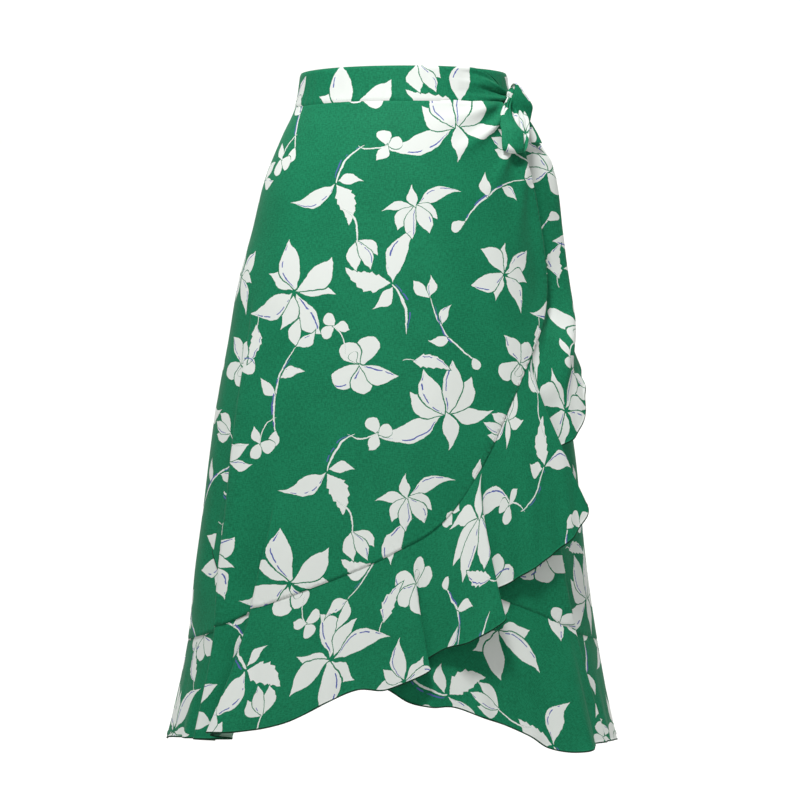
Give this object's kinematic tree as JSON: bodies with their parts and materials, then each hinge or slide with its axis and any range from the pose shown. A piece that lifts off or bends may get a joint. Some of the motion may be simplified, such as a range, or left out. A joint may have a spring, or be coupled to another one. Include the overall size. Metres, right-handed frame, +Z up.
{
  "type": "wrap skirt",
  "caption": "Knee-length wrap skirt with a side bow and a cascading flounce on its curved front edge and hem, standing open as worn.",
  "frame": {"origin": "centre of the waist opening, half-way up the waistband", "axes": "+Z up along the wearer; -Y is the wearer's front; +X is the wearer's left, where the bow is"},
  "size_m": [0.5185, 0.3737, 0.7633],
  "materials": {
    "printed_viscose": "woven viscose in mid green with a white floral print and thin blue accents"
  },
  "bodies": {
    "root": {"waistband": "printed_viscose", "over_panel": "printed_viscose", "under_panel": "printed_viscose", "back_panel": "printed_viscose", "flounce_over": "printed_viscose", "flounce_under": "printed_viscose", "flounce_back": "printed_viscose", "tie_knot": "printed_viscose", "tie_loop_front": "printed_viscose", "tie_loop_back": "printed_viscose", "tie_tail": "printed_viscose"}
  },
  "joints": []
}
